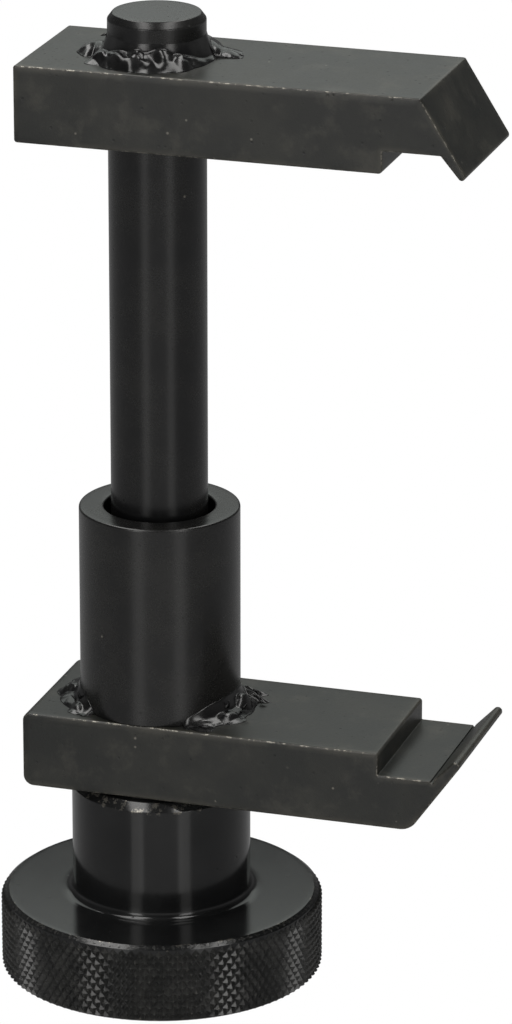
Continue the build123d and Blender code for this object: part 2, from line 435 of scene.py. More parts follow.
@dataclass
class Outline:
    """A closed outline with rounded corners, some of them cut back by a relief groove.

    Attributes:
        points: Corners in order, in either direction.
        radii: Rounding of each corner, 0 for a plain point.
        grooves: Radius of the relief groove round a corner, by the corner's number.
        fade: Length beside a corner over which its wear fades out.
        steps: Segments of each corner's arc.
        shortest_lead: Length of an edge below which it gets no point for the fade.
        finest_radius: Least rounding of a corner.
        worn_radius: Rounding up to which a corner wears fully.
        run_share: Largest share of an edge that the rounding of one corner may take.
        room_share: Largest share of the room inside that a corner may move.
    """

    points: list[Point]
    radii: list[float]
    grooves: dict[int, float] = field(default_factory=dict)
    fade: float = 0.9
    steps: int = 6
    shortest_lead: float = 2.0
    finest_radius: float = 0.04
    worn_radius: float = 0.3
    run_share: float = 0.82
    room_share: float = 0.36

    def ring(self, inset: float = 0.0) -> list[Worn]:
        """The outline moved inwards, with the same points in the same order at every inset.

        Args:
            inset: Distance moved.

        Returns:
            Points as (u, v, wear).
        """
        return [point for index in range(len(self.points)) for point in self._corner(index, inset)]

    def _side(self) -> float:
        """1 for a counter-clockwise outline, -1 for a clockwise one."""
        pairs = zip(self.points, self.points[1:] + self.points[:1])
        return 1.0 if sum(a[0] * b[1] - b[0] * a[1] for a, b in pairs) > 0 else -1.0

    def _corner(self, index: int, inset: float) -> list[Worn]:
        """The ring's points round one corner.

        Args:
            index: Number of the corner.
            inset: Distance by which the ring is moved inwards.

        Returns:
            Points as (u, v, wear).
        """
        here = Vector(self.points[index])
        back = Vector(self.points[index - 1]) - here
        ahead = Vector(self.points[(index + 1) % len(self.points)]) - here
        side = self._side()
        normal_back = Vector((back.y, -back.x)).normalized() * side
        normal_ahead = Vector((-ahead.y, ahead.x)).normalized() * side
        bisector = (normal_back + normal_ahead).normalized()
        lean = bisector.dot(normal_ahead)
        reach = inset / lean
        if inset:
            room = self._room(here + bisector * CLEAR_OF_CORNER, bisector)
            reach = min(reach, self.room_share * room)
        moved = here + bisector * reach
        inwards = reach * lean
        if index in self.grooves:
            return self._groove(here, (normal_back, normal_ahead), inwards, self.grooves[index])
        if self.radii[index] <= 0:
            return [(moved.x, moved.y, 0.0)]
        convex = (back.x * ahead.y - back.y * ahead.x) * side < 0
        radius = max(self.radii[index] + (-inwards if convex else inwards), self.finest_radius)
        half_angle = back.angle(ahead) / 2
        tangent = min(radius / math.tan(half_angle), self.run_share * back.length,
                      self.run_share * ahead.length)
        radius = tangent * math.tan(half_angle)
        back_way, ahead_way = back.normalized(), ahead.normalized()
        centre = moved + (back_way + ahead_way).normalized() * (radius / math.sin(half_angle))
        start, finish = moved + back_way * tangent, moved + ahead_way * tangent
        points: list[Worn] = []
        worn = min(1.0, self.worn_radius / self.radii[index]) if convex else 0.0
        if back.length > self.shortest_lead:
            points.append((*(start + back_way * self.fade), 0.0))
        for step in range(self.steps + 1):
            spoke = (start - centre).lerp(finish - centre, step / self.steps).normalized() * radius
            points.append((*(centre + spoke), worn * peaked(step / self.steps)))
        if ahead.length > self.shortest_lead:
            points.append((*(finish + ahead_way * self.fade), 0.0))
        return points

    def _groove(self, here: Vector, normals: tuple[Vector, Vector], inset: float,
                size: float) -> list[Worn]:
        """A round groove about a corner, cut into the material.

        Args:
            here: The corner.
            normals: Inward directions across the edges before and after it.
            inset: Distance by which the ring is moved inwards.
            size: Radius of the groove.

        Returns:
            Points as (u, v, wear).
        """
        radius = size + inset
        along = math.sqrt(radius * radius - inset * inset)
        first, last = normals
        side = self._side()
        start = Vector((-first.y, first.x)) * side * along + first * inset
        finish = Vector((last.y, -last.x)) * side * along + last * inset
        middle = (first + last).normalized()
        points: list[Worn] = []
        for one, other in ((start, middle), (middle, finish)):
            sweep = one.angle_signed(other)
            for step in range(self.steps + (other is finish)):
                turn = -sweep * step / self.steps
                spoke = Vector((one.x * math.cos(turn) - one.y * math.sin(turn),
                                one.x * math.sin(turn) + one.y * math.cos(turn))).normalized()
                points.append((*(here + spoke * radius), 0.0))
        return points

    def _room(self, start: Vector, heading: Vector) -> float:
        """Length of a ray from a corner to the outline's far side.

        Args:
            start: Start of the ray.
            heading: Direction of the ray.

        Returns:
            The length, infinite if nothing is met.
        """
        nearest = math.inf
        for index, second in enumerate(self.points):
            first = Vector(self.points[index - 1])
            along = Vector(second) - first
            denominator = heading.x * along.y - heading.y * along.x
            if abs(denominator) < PARALLEL:
                continue
            offset = first - start
            reach = (offset.x * along.y - offset.y * along.x) / denominator
            share = (offset.x * heading.y - offset.y * heading.x) / denominator
            if reach > NEAR_START and -NEAR_END <= share <= 1 + NEAR_END:
                nearest = min(nearest, reach)
        return nearest


def placed(name: str, data: bpy.types.ID) -> bpy.types.Object:
    """A new object in the scene, at the origin.

    Args:
        name: Name of the object.
        data: Its mesh, lamp or camera.

    Returns:
        The linked object.
    """
    piece = bpy.data.objects.new(name, data)
    bpy.context.scene.collection.objects.link(piece)
    return piece


class Skin:
    """A mesh that grows ring by ring, in millimetres."""

    def __init__(self) -> None:
        self.corners: list[Place] = []
        self.wear: list[float] = []
        self.faces: list[tuple[int, ...]] = []

    def ring(self, places: list[Place], wear: list[float] | None = None) -> list[int]:
        """Adds a ring of corners.

        Args:
            places: The corners' places.
            wear: Wear of each corner, or none anywhere.

        Returns:
            The corners' numbers.
        """
        first = len(self.corners)
        self.corners += places
        self.wear += wear or [0.0] * len(places)
        return list(range(first, len(self.corners)))

    def bridge(self, rings: list[list[int]], closed: bool = False) -> None:
        """Adds the faces between neighbouring rings, and from the last to the first if closed."""
        for first, second in zip(rings, rings[1:] + rings[:closed]):
            self.faces += ring_faces(first, second)

    def piece(self, name: str, sharp_angle: float = SHARP_ANGLE) -> bpy.types.Object:
        """A smooth-shaded object of the mesh, with its faces turned outwards.

        Args:
            name: Name of the piece.
            sharp_angle: Turn in degrees above which an edge stays crisp.

        Returns:
            The new object at the origin.
        """
        mesh = bpy.data.meshes.new(name)
        mesh.from_pydata([Vector(corner) * MM for corner in self.corners], [], self.faces)
        layer = mesh.attributes.new(WEAR_NAME, "FLOAT", "POINT")
        layer.data.foreach_set("value", self.wear)
        piece = placed(name, mesh)
        outward(piece)
        shade(piece, sharp_angle)
        return piece


def outward(piece: bpy.types.Object) -> None:
    """Turns the faces of a closed mesh outwards.

    Args:
        piece: The piece with that mesh.
    """
    work = bmesh.new()
    work.from_mesh(piece.data)
    bmesh.ops.recalc_face_normals(work, faces=work.faces)
    work.to_mesh(piece.data)
    work.free()


def shade(piece: bpy.types.Object, sharp_angle: float) -> None:
    """Smooth shading with edges sharper than the angle, in degrees, kept crisp."""
    piece.data.shade_smooth()
    piece.data.set_sharp_from_angle(angle=math.radians(sharp_angle))


def turned(name: str, outline: list[Worn], segments: int = 160) -> bpy.types.Object:
    """A piece turned on a lathe: a closed outline of (radius, height, wear) spun about Z.

    Args:
        name: Name of the piece.
        outline: The half section. A point on the axis closes the piece there.
        segments: Steps round the axis.

    Returns:
        The turned piece.
    """
    skin = Skin()
    rings = []
    for radius, height, wear in outline:
        steps = segments if radius > NEAR_END else 1
        places = [polar(TURN * step / segments, radius, height) for step in range(steps)]
        rings.append(skin.ring(places, [wear] * steps))
    skin.bridge(rings, closed=True)
    return skin.piece(name)


def tube(name: str, radii: tuple[float, float], levels: tuple[float, float],
         rounding: list[float], segments: int) -> bpy.types.Object:
    """A turned ring with a plain bore.

    Args:
        name: Name of the piece.
        radii: Radius of the bore and of the outside.
        levels: Height of the bottom and of the top.
        rounding: Rounding of the inner and outer bottom edge, then the outer and inner top edge.
        segments: Steps round the axis.

    Returns:
        The ring.
    """
    (bore, outside), (bottom, top) = radii, levels
    points = [(bore, bottom), (outside, bottom), (outside, top), (bore, top)]
    return turned(name, Outline(points, rounding).ring(), segments)


def ring_faces(first: list[int], second: list[int]) -> list[tuple[int, ...]]:
    """Faces between two rings of corners.

    Args:
        first: Corners of one ring, or a single pole.
        second: Corners of the next ring, or a single pole.

    Returns:
        Corner numbers of each face, in fours or, at a pole, in threes.
    """
    if len(first) == 1 and len(second) == 1:
        return []
    count = max(len(first), len(second))
    faces = []
    for step in range(count):
        after = (step + 1) % count
        if len(first) == 1:
            faces.append((first[0], second[step], second[after]))
        elif len(second) == 1:
            faces.append((first[step], second[0], first[after]))
        else:
            faces.append((first[step], second[step], second[after], first[after]))
    return faces


def milled_bar(name: str, outline: Outline, width: float, edge: float) -> bpy.types.Object:
    """A flat bar cut to an outline in XZ, with its side edges rounded by hand.

    Args:
        name: Name of the piece.
        outline: The outline, as (x, z).
        width: Size along Y.
        edge: Radius of the broken edges of both side faces.

    Returns:
        The bar, with a closed mesh.
    """
    half = width / 2
    courses = [(half, edge + outline.fade, 0.0)]
    for step in range(EDGE_STEPS + 1):
        turn = math.radians(90.0 * step / EDGE_STEPS)
        inset = edge * (1 - math.sin(turn))
        level = half - edge * (1 - math.cos(turn))
        courses.append((level, inset, peaked(step / EDGE_STEPS)))
    courses.append((half - edge - outline.fade, 0.0, None))
    courses += [(-level, inset, wear) for level, inset, wear in reversed(courses)]
    skin = Skin()
    rings = []
    for level, inset, value in courses:
        ring = outline.ring(inset)
        wear = [corner_wear if value is None else value for _, _, corner_wear in ring]
        rings.append(skin.ring([(x, level, z) for x, z, _ in ring], wear))
    for ring in (rings[0], rings[-1]):
        flat = [Vector((x, z, 0.0)) for x, _, z in (skin.corners[corner] for corner in ring)]
        for face in tessellate_polygon([flat]):
            skin.faces.append(tuple(ring[corner] for corner in face))
    skin.bridge(rings)
    return skin.piece(name)


def bored(piece: bpy.types.Object, radius: float, bottom: float, top: float) -> bpy.types.Object:
    """Cuts an upright round hole on the Z axis through a piece.

    Args:
        piece: The piece that is cut.
        radius: Radius of the hole.
        bottom: Height below the piece.
        top: Height above the piece.

    Returns:
        The same object with its new mesh.
    """
    section = [(0, bottom, 0), (radius, bottom, 0), (radius, top, 0), (0, top, 0)]
    cutter = turned("cutter", section, 96)
    cut = piece.modifiers.new("bore", "BOOLEAN")
    cut.operation = "DIFFERENCE"
    cut.solver = "EXACT"
    cut.object = cutter
    settle(piece)
    bpy.data.objects.remove(cutter)
    shade(piece, SHARP_ANGLE)
    return piece


def settle(piece: bpy.types.Object) -> None:
    """Turns a piece's modifiers into its plain mesh and removes them.

    Args:
        piece: The piece with live modifiers.
    """
    depsgraph = bpy.context.evaluated_depsgraph_get()
    mesh = bpy.data.meshes.new_from_object(piece.evaluated_get(depsgraph))
    mesh.name = piece.name
    piece.modifiers.clear()
    piece.data = mesh


def joined(name: str, pieces: list[bpy.types.Object]) -> bpy.types.Object:
    """One object from several, which are used up. Each part keeps its material.

    Args:
        name: Name of the new piece.
        pieces: Pieces with one material each.

    Returns:
        The joined piece.
    """
    mesh = bpy.data.meshes.new(name)
    work = bmesh.new()
    for number, piece in enumerate(pieces):
        first = len(work.faces)
        work.from_mesh(piece.data)
        work.faces.ensure_lookup_table()
        for face in work.faces[first:]:
            face.material_index = number
        mesh.materials.append(piece.data.materials[0])
    work.to_mesh(mesh)
    work.free()
    for piece in pieces:
        bpy.data.objects.remove(piece)
    whole = placed(name, mesh)
    shade(whole, SHARP_ANGLE)
    return whole


class Modelled:
    """A geometry tree with named inputs, run once on an empty mesh.

    Args:
        name: Name of the tree and of the piece that it makes.
        inputs: Value of each named input. A whole number becomes an integer socket.
        finish: Material set at the end.
    """

    def __init__(self, name: str, inputs: dict[str, float], finish: bpy.types.Material) -> None:
        self.name = name
        self.values = dict(inputs)
        self.finish = finish
        self.tree = bpy.data.node_groups.new(name, "GeometryNodeTree")
        self.graph = Graph(self.tree)
        interface = self.tree.interface
        for key, value in inputs.items():
            kind = "NodeSocketInt" if isinstance(value, int) else "NodeSocketFloat"
            interface.new_socket(key, in_out="INPUT", socket_type=kind)
        interface.new_socket("Finish", in_out="INPUT", socket_type="NodeSocketMaterial")
        interface.new_socket("Geometry", in_out="OUTPUT", socket_type="NodeSocketGeometry")
        self.source = self.tree.nodes.new("NodeGroupInput")

    def given(self, key: str) -> Term:
        """The named input as a term."""
        return Term(self.graph, self.source.outputs[key])

    def made(self, geometry: Term) -> bpy.types.Object:
        """Closes the tree and turns its result into a plain mesh object.

        Args:
            geometry: The geometry that the tree has built.

        Returns:
            The piece, with no modifier left.
        """
        graph = self.graph
        plain = graph.term("GeometryNodeRealizeInstances", None, {"Geometry": geometry})
        dressed = graph.term("GeometryNodeSetMaterial", None,
                             {"Geometry": plain, "Material": self.given("Finish")})
        graph.add("NodeGroupOutput", None, {"Geometry": dressed})
        piece = placed(self.name, bpy.data.meshes.new(self.name))
        modifier = piece.modifiers.new(self.name, "NODES")
        modifier.node_group = self.tree
        for item in self.tree.interface.items_tree:
            if item.in_out == "INPUT":
                value = self.finish if item.name == "Finish" else self.values[item.name]
                modifier[item.identifier] = value
        settle(piece)
        return dress(piece, self.finish)


class Side(Enum):
    """The side of the sleeve on which a stitch weld lies, as (first bearing, sweep) in degrees."""

    RIGHT = (-56.0, 94.0)
    LEFT = (150.0, 82.0)


@dataclass(frozen=True)
class Pad:
    """One rounded ripple of a weld.

    Attributes:
        bearing: Place of its middle round the screw axis, in degrees.
        distance: Distance of its middle from the wall.
        length: Half its size round the axis.
        width: Half its size away from the wall.
        height: Its height above the body of the bead.
        swirl: Sideways drift per unit of distance from the wall.
    """

    bearing: float
    distance: float
    length: float
    width: float
    height: float
    swirl: float = 0.0

    def level(self, bearing: float, out: float, radius: float) -> float:
        """Height of the ripple above the body of its bead.

        Args:
            bearing: Bearing of the place that is asked for.
            out: Its distance from the wall.
            radius: Radius of the wall.

        Returns:
            Height above the body, 0 beside the ripple.
        """
        beyond = out - self.distance
        turn = math.radians(signed_turn(bearing, self.bearing))
        along = turn * (radius + out) - self.swirl * beyond
        spread = (along / self.length) ** 2 + (beyond / self.width) ** 2
        return self.height * (1.0 - spread) ** 1.5 if spread < 1.0 else 0.0


@dataclass(frozen=True)
class Barb:
    """A frozen splash of weld: a thin drop that tapers to a tip.

    Attributes:
        bearing: Place round the screw axis, in degrees.
        distance: Distance of its foot from the axis.
        height: Height of its foot above the bead's foot.
        lean: Angle above the horizontal at which it points outwards.
        swing: Turn of its heading away from the bearing.
        length: Length from foot to tip.
        width: Its greatest width.
        around: Corners round it.
        along: Steps from foot to tip.
        flatness: Its thickness as a share of its width.
    """

    bearing: float
    distance: float
    height: float
    lean: float
    swing: float
    length: float
    width: float
    around: int = 8
    along: int = 7
    flatness: float = 0.8

    def grow(self, skin: Skin, plate: float) -> None:
        """Adds the barb to the skin of its bead.

        Args:
            skin: The bead's mesh.
            plate: Height of the plate.
        """
        lean = math.radians(self.lean)
        foot = Vector(polar(math.radians(self.bearing), self.distance, plate + self.height))
        heading = math.radians(self.bearing + self.swing)
        way = Vector(polar(heading, math.cos(lean), math.sin(lean)))
        side = way.cross(Vector((0.3, 0.2, 1.0))).normalized()
        above = side.cross(way)
        rings = [skin.ring([tuple(foot)])]
        for step in range(1, self.along):
            share = step / self.along
            girth = self.width / 2 * math.sin(math.pi * share ** 0.55) ** 0.8
            middle = foot + way * self.length * share
            turns = [TURN * spoke / self.around for spoke in range(self.around)]
            rings.append(skin.ring([
                tuple(middle + (side * math.cos(turn) * girth
                                + above * math.sin(turn) * girth * self.flatness))
                for turn in turns]))
        rings.append(skin.ring([tuple(foot + way * self.length)]))
        skin.bridge(rings)


@dataclass
class WeldBead:
    """A fillet weld round an upright wall: a hollow skirt, and ripples on a rounded body.

    Attributes:
        name: Name of the piece.
        radius: Radius of the wall.
        foot: Height of the plate.
        reach: How far the body spreads on the plate.
        rise: How high the skirt climbs the wall.
        skirt: Width of the skirt at its foot.
        start: Bearing of the first ripple, in degrees.
        sweep: Turn from the first ripple to the last.
        ripples: Number of ripples laid at random sizes.
        seed: Seed of the random sizes and of the bead's wander.
        pads: Further ripples in set places.
        barbs: Splashes.
        body: Height of the rounded body below the ripples.
        bump: Mean height of the ripples.
        lull: Share by which the bead is leaner along X than along Y.
        crease: Rounding of the crease between skirt and body.
        room: Half the width of the plate, which the bead stays inside.
        overrun: How far ripples may reach past the body.
        finest: Distance between neighbouring corners.
        toe: Height of the skin at the bead's outer end.
        thinnest: Height below which the bead counts as ended.
        shortest: Least width of the bead.
        sunk: Depth to which the mesh reaches into wall and plate.
        ended: Height that stands for no bead.
        leanest: Least share of the full body that sets its reach.
        least_sine: Least share of the room that bounds the bead towards the plate's ends.
        row_density: Corners across the bead, against the reach in steps of the finest.
        hollowness: Power of the skirt's curve.
        roundness: Power of the body's curve.
        wander: How far the bead strays from its true form.
        wander_scale: How quickly it strays, per millimetre.
        climb_spread: Share by which the skirt's height varies.
        turn_spread: Range of a ripple's length round the axis, before they are fitted in.
        near_row: Range of distances from the wall of every other ripple, as shares of the reach.
        far_row: The same for the ripples between them, further out.
        width_spread: Range of a ripple's half width, as shares of the reach.
        length_spread: Range of a ripple's half length, as shares of its turn.
        height_spread: Range of a ripple's height, as shares of the bump.
        swirl_spread: Range of a ripple's sideways drift.
    """

    name: str
    radius: float
    foot: float
    reach: float
    rise: float
    skirt: float
    start: float = 0.0
    sweep: float = 360.0
    ripples: int = 20
    seed: int = 6
    pads: list[Pad] = field(default_factory=list)
    barbs: list[Barb] = field(default_factory=list)
    body: float = 1.7
    bump: float = 0.8
    lull: float = 0.0
    crease: float = 0.15
    room: float = 12.2
    overrun: float = 1.8
    finest: float = 0.13
    toe: float = 0.02
    thinnest: float = 0.03
    shortest: float = 0.3
    sunk: float = 0.3
    ended: float = -1.0
    leanest: float = 0.05
    least_sine: float = 0.1
    row_density: float = 1.3
    hollowness: float = 1.8
    roundness: float = 1.9
    wander: float = 0.45
    wander_scale: float = 0.45
    climb_spread: float = 0.14
    turn_spread: Range = (0.5, 1.5)
    near_row: Range = (0.16, 0.3)
    far_row: Range = (0.5, 0.7)
    width_spread: Range = (0.34, 0.46)
    length_spread: Range = (1.0, 1.3)
    height_spread: Range = (0.4, 1.2)
    swirl_spread: Range = (-0.1, 0.5)

    def build(self) -> bpy.types.Object:
        """The bead's mesh.

        Returns:
            A closed bead with its ripples and barbs.
        """
        noise.seed_set(self.seed)
        ripples = self._laid() + self.pads
        closed = self.sweep >= 360.0
        middle = self.radius + self.reach / 2
        columns = round(math.radians(self.sweep) * middle / self.finest)
        skin = Skin()
        rings = []
        for column in range(columns if closed else columns + 1):
            share = column / columns
            near = [pad for pad in ripples if self._beside(pad, self.start + self.sweep * share)]
            rings.append(skin.ring(self._section(share, near)))
        skin.bridge(rings, closed)
        if not closed:
            skin.faces += [tuple(rings[0]), tuple(reversed(rings[-1]))]
        for barb in self.barbs:
            barb.grow(skin, self.foot)
        return skin.piece(self.name, SHARP_BEAD_ANGLE)

    def _laid(self) -> list[Pad]:
        """Ripples of random size, laid one after another along the bead.

        Returns:
            The ripples in order.
        """
        lots = random.Random(self.seed)
        sizes = [lots.uniform(*self.turn_spread) for _ in range(self.ripples)]
        bearing = self.start
        laid = []
        for number, size in enumerate(sizes):
            turn = self.sweep * size / sum(sizes)
            full = self._fullness((number + 0.5) / self.ripples, bearing + turn / 2)
            row = self.near_row if number % 2 else self.far_row
            distance = self.reach * lots.uniform(*row) * full
            width = self.reach * lots.uniform(*self.width_spread) * full
            arc = math.radians(turn) * (self.radius + distance)
            length = arc * lots.uniform(*self.length_spread)
            height = self.bump * lots.uniform(*self.height_spread) * full ** 3
            swirl = lots.uniform(*self.swirl_spread)
            laid.append(Pad(bearing + turn / 2, distance, length, width, height, swirl))
            bearing += turn
        return laid

    def _swell(self, share: float) -> float:
        """How full the bead is along its way.

        Args:
            share: Share of the way along the bead.

        Returns:
            Share of the full height, 0 at the ends of an open bead.
        """
        if self.sweep >= 360.0:
            return 1.0
        return math.sqrt(math.sin(math.pi * min(1.0, max(0.0, share))))

    def _fullness(self, share: float, bearing: float) -> float:
        """Share of the full body at a share of the way along, leaner along X by the lull."""
        return self._swell(share) * (1.0 - self.lull * math.cos(math.radians(bearing)) ** 4)

    def _beside(self, pad: Pad, bearing: float) -> bool:
        """Whether a ripple can reach the section at a bearing."""
        away = math.radians(abs(signed_turn(bearing, pad.bearing))) * self.radius
        return away < pad.length + abs(pad.swirl) * pad.width + self.wander + self.crease

    def _level(self, share: float, out: float, near: list[Pad]) -> float:
        """Height of the skin above the plate.

        Args:
            share: Share of the way along the bead.
            out: Distance from the wall.
            near: Ripples that can reach this section.

        Returns:
            Height above the plate, negative beyond the toe.
        """
        bearing = self.start + self.sweep * share
        turn = math.radians(bearing)
        probe = Vector(polar(turn, 1.0)) * (self.radius + out) + Vector((0.0, 0.0, self.seed))
        stray = noise.noise_vector(probe * self.wander_scale) * self.wander
        moved = bearing + math.degrees(stray.x / self.radius)
        beyond = out + stray.y
        hollow = self.ended
        if out < self.skirt:
            climb = self.rise * self._swell(share) * (1.0 + self.climb_spread * stray.z)
            hollow = climb * (1.0 - out / self.skirt) ** self.hollowness
        full = self._fullness(share, bearing)
        spread = max(beyond, 0.0) / (self.reach * max(full, self.leanest))
        bulge = self.body * full * max(0.0, 1.0 - spread ** self.roundness)
        bulge += sum(pad.level(moved, beyond, self.radius) for pad in near)
        peak = max(hollow, bulge)
        if peak <= self.thinnest:
            return self.ended
        parts = [math.exp((part - peak) / self.crease) for part in (hollow, bulge)]
        return peak + self.crease * math.log(sum(parts))

    def _section(self, share: float, near: list[Pad]) -> list[Place]:
        """Corners of one upright cross-section.

        Args:
            share: Share of the way along the bead.
            near: Ripples that can reach this section.

        Returns:
            Corners from inside the wall over the skin into the plate.
        """
        turn = math.radians(self.start + self.sweep * share)
        plate = self.room / max(abs(math.sin(turn)), self.least_sine) - self.radius
        toe = min(self.reach + self.overrun, plate)
        while toe > self.shortest and self._level(share, toe, near) <= self.toe:
            toe -= self.finest / 2
        rows = round(self.reach * self.row_density / self.finest)
        outs = [toe * row / rows for row in range(rows + 1)]
        top = [(out, max(0.0, self._level(share, out, near))) for out in outs]
        section = [(-self.sunk, -self.sunk), (-self.sunk, top[0][1]), *top,
                   (toe + self.toe, -self.sunk)]
        return [polar(turn, self.radius + out, self.foot + up) for out, up in section]


class Finishes:
    """All finishes of the tool, built once."""

    def __init__(self) -> None:
        self.ground = OxideFinish(
            "ground_rod_oxide", (0.0045, 0.0045, 0.0048), (0.0085, 0.0083, 0.0080),
            roughness=0.27, roughness_spread=0.04, pit_share=0.05, fleck_share=0.012, wear=0.05,
            ior=1.47, grain_height=0.003, lay_pitch=0.25, lay_height=0.003).material()
        # The bar's warm lighter band beside its edges is partly worn film and partly painted edge
        # sheen.
        self.bar = OxideFinish(
            "rolled_bar_oxide", (0.0072, 0.0080, 0.0066), (0.0168, 0.0171, 0.0139),
            roughness_spread=0.09, pit_share=0.2, pit_depth=0.05, fleck_share=0.04, wear=0.6,
            edge_sheen_and_thinning=0.7, staining=0.45).material()
        self.tube = OxideFinish(
            "drawn_tube_oxide", (0.0055, 0.0055, 0.0055), (0.0105, 0.0102, 0.0096),
            roughness=0.27, roughness_spread=0.04, pit_share=0.06, fleck_share=0.025, wear=0.2,
            grain_height=0.003, lay_pitch=0.3, lay_height=0.003).material()
        self.weld = OxideFinish(
            "weld_oxide", (0.003, 0.003, 0.0032), (0.009, 0.009, 0.009),
            roughness=0.21, roughness_spread=0.05, film_patch=2.5, pit_share=0.06,
            fleck_share=0.01, grain=0.6, grain_height=0.004).material()
        self.washer = OxideFinish(
            "washer_oxide", (0.004, 0.004, 0.004), (0.007, 0.007, 0.007),
            roughness=0.5).material()
        self.knob = OxideFinish(
            "turned_knob_oxide", (0.0065, 0.0067, 0.007), (0.0105, 0.0108, 0.011),
            roughness=0.145, roughness_spread=0.04, pit_share=0.06, fleck_share=0.02, wear=0.55,
            rub_reach=0.2, ior=1.45, grain_height=0.002, lay_pitch=0.22,
            lay_height=0.002).material()
        self.knurl = OxideFinish(
            "knurl_oxide", (0.010, 0.0102, 0.0098), (0.027, 0.0268, 0.0255),
            roughness=0.22, roughness_spread=0.06, film_patch=3.0, pit_share=0.1,
            fleck_share=0.05, wear=0.3, rub_reach=0.55).material()


def dress(piece: bpy.types.Object, finish: bpy.types.Material) -> bpy.types.Object:
    """Gives the whole piece one material.

    Args:
        piece: The piece.
        finish: Its material.

    Returns:
        The same piece.
    """
    piece.data.materials.clear()
    piece.data.materials.append(finish)
    return piece


def hand_over(piece: bpy.types.Object, body: str, node: str) -> None:
    """Mounts a finished piece on its body, in place of its CAD node.

    Args:
        piece: The finished piece.
        body: The body that it moves with.
        node: The CAD node that it stands for.
    """
    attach(piece, body)
    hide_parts(node)
    faces = len(piece.data.polygons)
    LOG.info("%s rides on %s for %s with %d faces", piece.name, body, node, faces)


def corners(node: str) -> tuple[Vector, Vector]:
    """Lowest and highest corner of a CAD node, in millimetres."""
    low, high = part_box(node)
    return Vector(low) / MM, Vector(high) / MM


@dataclass(frozen=True)
class Hook:
    """The milled seat and the slanted lip at the end of a bar jaw.

    Attributes:
        seat_start: Distance of the seat's step from the screw axis.
        seat_end: Distance of the seat's other end, at the foot of the lip.
        lip_tip: Distance of the lip's tip.
        lip_angle: Angle of the lip's inner face from the seat, in degrees.
        end_angle: Angle of the bar's slanted end from its long side, in degrees.
        depth: Depth of the seat.
    """

    seat_start: float
    seat_end: float
    lip_tip: float
    lip_angle: float
    end_angle: float
    depth: float = 3.5

    def corners(self, back: float, plain: float, hooked: float) -> list[Point]:
        """Corners of the bar, along its plain side and back along its hooked side.

        Args:
            back: Place of the bar's back end along X.
            plain: Height of the plain side.
            hooked: Height of the hooked side.

        Returns:
            The corners as (x, z): back, end, tip, lip, seat's end, seat's start, step and back.
        """
        seat = hooked - math.copysign(self.depth, hooked - plain)
        end = self.lip_tip - abs(hooked - plain) / math.tan(math.radians(self.end_angle))
        lip = self.seat_end + self.depth / math.tan(math.radians(self.lip_angle))
        return [(back, plain), (end, plain), (self.lip_tip, hooked), (lip, hooked),
                (self.seat_end, seat), (self.seat_start, seat), (self.seat_start, hooked),
                (back, hooked)]


def jaw(name: str, node: str, outline: Outline, edge: float, bore: float) -> bpy.types.Object:
    """A bar jaw as wide as its CAD node, cut to an outline and bored for the spindle.

    Args:
        name: Name of the piece.
        node: The CAD node that it stands for.
        outline: Its outline, as (x, z).
        edge: Radius of its broken side edges.
        bore: Radius of its bore.

    Returns:
        The jaw, not yet dressed.
    """
    low, high = corners(node)
    bar = milled_bar(name, outline, high.y - low.y, edge)
    return bored(bar, bore, low.z - BORE_OVERSHOOT, high.z + BORE_OVERSHOOT)


@dataclass
class SubAssembly:
    """A sub-assembly of the tool, dressed in the tool's finishes.

    Attributes:
        finishes: The finishes of all pieces.
    """

    finishes: Finishes


